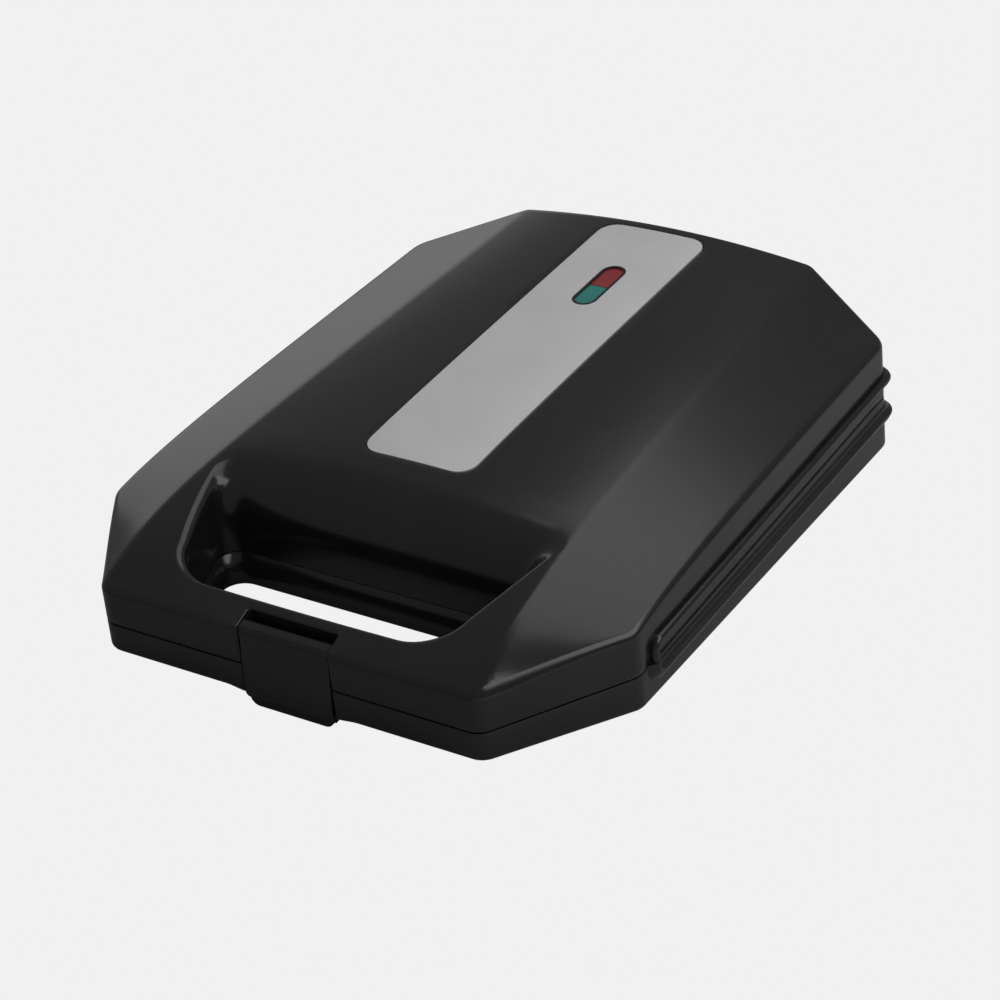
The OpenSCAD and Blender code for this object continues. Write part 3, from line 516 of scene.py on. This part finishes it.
# %% Recess of the strip and edges of the lid
STRIP_Y, STRIP_WIDTH, STRIP_LENGTH, STRIP_ROUND = 43.05, 58.0, 216.0, 9.0
STRIP_GAP, RECESS_DEPTH = 0.4, 1.0
EDGE_TURNS = (0, 12, 24, 36, 48, 60, 72, 82, 90)

def strip_outline(grow):
    w, l, r = STRIP_WIDTH / 2 + grow, STRIP_LENGTH / 2 + grow, STRIP_ROUND + grow
    return rounded_outline(mirrored([(w, STRIP_Y - l, r), (w, STRIP_Y + l, r)]))

def edge_rings(outline, notch_depth):
    rings = []
    for turn in EDGE_TURNS:
        a, ring = math.radians(turn), []
        for p, n in outline:
            r = edge_radius(p.x, p.y, notch_depth)
            q = p - n * r * (1 - math.sin(a))
            ring.append((q.x, q.y, top_z(q.x, q.y) - r * (1 - math.cos(a))))
        rings.append(ring)
    return rings

def on_plan(ring):
    return [(p[0], p[1]) for p in ring]

def lid_skin():
    outline = body_outline(LID_NOTCH)
    rings = edge_rings(outline, LID_NOTCH)
    rings += [[(p.x - n.x * d, p.y - n.y * d, split_z(p.y) + SEAM + h) for p, n in outline]
        for d, h in ((0, 3), (0, 0.5), (0.15, 0.15), (0.5, 0))]
    recess = [[(q.x, q.y, top_z(q.x, q.y) - h) for q in (p + n * d for p, n in strip_outline(STRIP_GAP))]
        for d, h in ((0.35, 0), (0.1, 0.1), (0, 0.35), (0, RECESS_DEPTH), (-4, RECESS_DEPTH))]
    opening = opening_rings + [[(x, y, split_z(y) + SEAM + h) for x, y, _ in opening_rings[-1]]
        for h in (0.4, 0)]
    spots, faces = field(on_plan(rings[0]), [on_plan(opening[0]), on_plan(recess[0])], rows_of_points())
    shape = bmesh.new()
    corners = [shape.verts.new((p.x, p.y, top_z(p.x, p.y))) for p in spots]
    for f in faces:
        shape.faces.new([corners[i] for i in f])
    loft(shape, rings)
    loft(shape, opening)
    floor_loop = loft(shape, recess)[-1]
    bmesh.ops.holes_fill(shape, edges=floor_loop, sides=0)
    return shape

lid_shape = lid_skin()
print("faces of the lid's skin:", len(lid_shape.faces))

# %% Give the skin its wall
def with_wall(piece):
    wall = piece.modifiers.new("wall", "SOLIDIFY")
    wall.thickness, wall.offset = COVER_WALL * METRE, -1
    wall.use_even_offset, wall.use_quality_normals = True, True
    return piece

lid_shell = with_wall(finished_piece(lid_shape, "lid_shell", black_gloss, "lid"))
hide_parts("upper_cover")
print("lid shell:", [round(v / METRE, 1) for v in lid_shell.dimensions])

# %% [markdown]
# ## Skin of the base
# The base is a shallow tray with the same outline. Its walls run down from the parting plane to
# a round along the bottom, and the finger opening goes straight through it.

# %% Skin of the base
BASE_BOTTOM = 9.0
SHAFT_MIDDLE = Vector((0, (GRIP_FRONT + GRIP_BACK) / 2))

def shaft_ring(grow, height):
    ring, points = opening_ring(90), []
    for i, (x, y, _) in enumerate(ring):
        before, after = ring[i - 1], ring[(i + 1) % len(ring)]
        along = Vector((after[0] - before[0], after[1] - before[1])).normalized()
        away = Vector((-along.y, along.x))
        if away.dot(Vector((x, y)) - SHAFT_MIDDLE) < 0:
            away = -away
        q = Vector((x, y)) + away * grow
        points.append((q.x, q.y, height(q.y)))
    return points

def bottom_ring(outline, turn):
    ring, a = [], math.radians(turn)
    for p, n in outline:
        r = edge_radius(p.x, p.y, BASE_NOTCH)
        q = p - n * r * (1 - math.cos(a))
        ring.append((q.x, q.y, BASE_BOTTOM + r * (1 - math.sin(a))))
    return ring

def base_skin():
    outline = body_outline(BASE_NOTCH)
    rings = [[(p.x - n.x * d, p.y - n.y * d, split_z(p.y) - SEAM - h) for p, n in outline]
        for d, h in ((0.5, 0), (0.15, 0.15), (0, 0.5), (0, 4))]
    rings += [bottom_ring(outline, turn) for turn in EDGE_TURNS]
    shaft = [shaft_ring(0, lambda y: split_z(y) - SEAM)]
    for grow, up in ((0, 1.5), (0.2, 0.75), (0.75, 0.2), (1.5, 0)):
        shaft.append(shaft_ring(grow, lambda y: BASE_BOTTOM + up))
    shape = bmesh.new()
    bottom = loft(shape, rings)[-1] + loft(shape, shaft)[-1]
    bmesh.ops.triangle_fill(shape, edges=bottom, use_beauty=True)
    return shape

base_shape = base_skin()
print("faces of the base's skin:", len(base_shape.faces))
base_shell = with_wall(finished_piece(base_shape, "base_shell", black_gloss, "base"))
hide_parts("lower_cover")

# %% [markdown]
# ## Inner edges of the covers
# When the lid is up, a flat flange shows round each plate, with a wall across the front of the
# body and the solid block that carries the latch. They are flat outlines, filled with
# triangle_fill where they have a window and pulled to their thickness with an extrusion.

# %% Flanges, cross walls and blocks
def faces_of(geom):
    return [g for g in geom if isinstance(g, bmesh.types.BMFace)]

def slab_between(shape, loops, low, high):
    edges = []
    for loop in loops:
        edges += ring_of_edges(shape, [(x, y, low(x, y)) for x, y in loop])
    faces = faces_of(bmesh.ops.triangle_fill(shape, edges=edges, use_beauty=True)["geom"])
    pulled = bmesh.ops.extrude_face_region(shape, geom=faces, use_keep_orig=True)["geom"]
    for v in (g for g in pulled if isinstance(g, bmesh.types.BMVert)):
        v.co.z = high(v.co.x, v.co.y)

PLATE_Y, WINDOW_HALF_X, WINDOW_HALF_Y, WINDOW_ROUND = 19.05, 124.8, 103.8, 8.8
FLANGE, SHEET = 2.2, 2.0
BULKHEAD, RIB_X = (84, 138), 61
BLOCK_IN, BLOCK_OUT = 25, 29.5

def box_loop(x0, x1, y0, y1):
    return [(x0, y0), (x1, y0), (x1, y1), (x0, y1)]

def plate_window():
    w, l, r = WINDOW_HALF_X, WINDOW_HALF_Y, WINDOW_ROUND
    right = [(w, PLATE_Y - l, r), (w, PLATE_Y + l, r)]
    return [tuple(p) for p, n in rounded_outline(mirrored(right), 6)]

def flange_outline():
    right = [(half_width(GRIP_BACK + 2) - 1, GRIP_BACK + 0.3, 0.5), (132, 132.05, 9), (80, BACK - 1, 9)]
    return [tuple(p) for p, n in rounded_outline(mirrored(right), 6)]

def latch_block(notch_depth):
    front, back, bar = FRONT + 1, FRONT + notch_depth + 0.6, GRIP_FRONT - 0.5
    right = [(BLOCK_IN, back), (BLOCK_IN, front), (BLOCK_OUT, front), (BLOCK_OUT, bar)]
    return right + [(-x, y) for x, y in reversed(right)]

def inner_edges(name, body, side, notch_depth, deep, node):
    shape = bmesh.new()
    face = lambda h: (lambda x, y: split_z(y) + side * (SEAM + h))
    slab_between(shape, [flange_outline(), plate_window()], face(0), face(FLANGE))
    for s in (1, -1):
        wall = box_loop(s * BULKHEAD[0], s * BULKHEAD[1], GRIP_BACK + 0.2, GRIP_BACK + 2.4)
        slab_between(shape, [wall], face(0), face(deep))
        rib = box_loop(s * RIB_X, s * (RIB_X + SHEET), FRONT + 1, GRIP_FRONT - 1)
        slab_between(shape, [rib], face(0.6), face(deep))
    slab_between(shape, [latch_block(notch_depth)], face(0), face(deep))
    piece = finished_piece(shape, name, black_gloss, body)
    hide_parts(node)
    return piece

lid_flange = inner_edges("lid_flange", "lid", 1, LID_NOTCH, 14, "upper_cover")
base_flange = inner_edges("base_flange", "base", -1, BASE_NOTCH, 12, "lower_cover")
print("flanges:", len(lid_flange.data.polygons), len(base_flange.data.polygons))

# %% [markdown]
# ## Beads along the sides
# Two raised beads run along each side and round the rear corners. At the front they bend up or
# down to the parting line. The real ones are part of the moulding. Here a profile is carried
# along the path, one ring for each stop, and the rings are bridged.

# %% Path and profiles of the beads
BEAD_FRONT, BEAD_BACK, BEND = -92.95, 127.05, 4.5
STOPS_ALONG, STOPS_CORNER = 12, 8

def smooth_profile(points, between=3):
    ring, count = [], len(points)
    for i in range(count):
        p0, p1, p2, p3 = (Vector(points[(i + k) % count]) for k in (-1, 0, 1, 2))
        for k in range(between):
            t = k / between
            ring.append(0.5 * (2 * p1 + (p2 - p0) * t + (2 * p0 - 5 * p1 + 4 * p2 - p3) * t * t
                + (3 * p1 - p0 - 3 * p2 + p3) * t * t * t))
    return ring

UPPER_BEAD = [Vector((0.6 + 2.7 * math.cos(math.radians(a)), 2 * math.sin(math.radians(a))))
    for a in range(0, 360, 15)]
LOWER_BEAD = smooth_profile([(-1.5, -4.6), (0.5, -3.6), (1.2, -2.3), (2.2, -1.3), (3.2, -0.8), (3.5, 0.2),
    (2.9, 1.6), (1.6, 3.6), (0.3, 5), (-1.5, 5.4)])

def outward(a, b):
    return Vector((b[1] - a[1], a[0] - b[0], 0)).normalized()

def bead_path(height, up):
    side_start, corner, cut_end = (Vector((x, y, 0)) for x, y in PLAN_CORNERS[1:])
    side_out, cut_out = outward(side_start, corner), outward(corner, cut_end)
    start = BEAD_FRONT - BEND
    stops = [((half_width(start), start, split_z(start) - up), side_out)]
    for a in range(0, 91, 9):
        y = BEAD_FRONT - BEND * math.cos(math.radians(a))
        z = height(BEAD_FRONT) - up * BEND * (1 - math.sin(math.radians(a)))
        stops.append(((half_width(y), y, z), side_out))
    for k in range(1, STOPS_ALONG + 1):
        y = BEAD_FRONT + (BEAD_BACK - BEAD_FRONT) * k / STOPS_ALONG
        stops.append(((half_width(y), y, height(y)), side_out))
    before, along = Vector((corner.x, BEAD_BACK, 0)), (cut_end - corner).normalized()
    reach = corner.y - BEAD_BACK
    for k in range(1, STOPS_CORNER):
        t = k / STOPS_CORNER
        out = side_out.lerp(cut_out, t * t * (3 - 2 * t)).normalized()
        p = before.lerp(corner, t).lerp(corner.lerp(corner + along * reach, t), t)
        stops.append(((p.x, p.y, height(BEAD_BACK + reach * t)), out))
    for s in (6, 12, 18, 20):
        p = corner + along * s
        stops.append(((p.x, p.y, height(corner.y)), cut_out))
    return stops

def bead(name, body, height, up, profile, node):
    shape, rings, stops = bmesh.new(), [], bead_path(height, up)
    for i, (p, out) in enumerate(stops):
        before = Vector(stops[max(0, i - 1)][0])
        after = Vector(stops[min(len(stops) - 1, i + 1)][0])
        rise = (after - before).normalized().cross(out)
        rings.append([Vector(p) + q[0] * out + q[1] * rise for q in profile])
    loops = loft(shape, rings)
    for end in (loops[0], loops[-1]):
        bmesh.ops.edgeloop_fill(shape, edges=end)
    whole = shape.verts[:] + shape.edges[:] + shape.faces[:]
    bmesh.ops.mirror(shape, geom=whole, axis="X", merge_dist=0)
    piece = finished_piece(shape, name, black_gloss, body, 60)
    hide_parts(node)
    return piece

def upper_height(y):
    return split_z(y) + 9.6

def lower_height(y):
    return split_z(y) - 5.6 + (BEAD_FRONT - y) * 0.012

upper_bead = bead("upper_bead", "lid", upper_height, 1, UPPER_BEAD, "upper_cover")
lower_bead = bead("lower_bead", "base", lower_height, -1, LOWER_BEAD, "lower_cover")
print("bead faces:", len(upper_bead.data.polygons), len(lower_bead.data.polygons))

# %% [markdown]
# ## Hinge knuckles
# Each knuckle is an eye on a short arm. The side view is drawn once, filled and extruded across
# its width, and its edges are bevelled as a mould would leave them.

# %% Knuckles
HINGE_Y, HINGE_Z = 165.55, split_z(BACK)
KNUCKLE_R, EYE_R = 6.0, 2.6
ARM_HEIGHT, ARM_IN = 13.0, 1.5

def round_points(radius, side, angles):
    turns = [math.radians(a) for a in angles]
    return [(HINGE_Y + radius * math.cos(t), HINGE_Z + side * radius * math.sin(t)) for t in turns]

def knuckle(shape, x, width, side):
    near = x - width / 2
    drawn = [(BACK - ARM_IN, HINGE_Z + side * ARM_HEIGHT)]
    drawn += round_points(KNUCKLE_R, side, range(90, -181, -10))
    drawn.append((BACK - ARM_IN, HINGE_Z + side * 0.5))
    eye = round_points(EYE_R, 1, range(0, 360, 15))
    edges = ring_of_edges(shape, [(near, y, z) for y, z in drawn])
    edges += ring_of_edges(shape, [(near, y, z) for y, z in eye])
    faces = faces_of(bmesh.ops.triangle_fill(shape, edges=edges, use_beauty=True)["geom"])
    bmesh.ops.dissolve_limit(shape, angle_limit=0.01, verts=list({v for f in faces for v in f.verts}),
        edges=list({e for f in faces for e in f.edges}))
    faces = [f for f in shape.faces if all(abs(v.co.x - near) < 1e-6 for v in f.verts)]
    pulled = bmesh.ops.extrude_face_region(shape, geom=faces, use_keep_orig=True)["geom"]
    moved = [g for g in pulled if isinstance(g, bmesh.types.BMVert)]
    bmesh.ops.translate(shape, vec=(width, 0, 0), verts=moved)

def knuckles(name, body, places, width, side, node):
    shape = bmesh.new()
    for x in places:
        knuckle(shape, x, width, side)
    piece = finished_piece(shape, name, black_gloss, body, 30)
    softened = piece.modifiers.new("mould_edges", "BEVEL")
    softened.width, softened.segments, softened.limit_method = 0.4 * METRE, 2, "ANGLE"
    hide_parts(node)
    return piece

lid_knuckles = knuckles("lid_knuckles", "lid", (-52, 52), 16, 1, "upper_cover")
base_knuckles = knuckles("base_knuckles", "base", (-64, -40, 40, 64), 7, -1, "lower_cover")
print("knuckles:", len(lid_knuckles.data.polygons), len(base_knuckles.data.polygons))
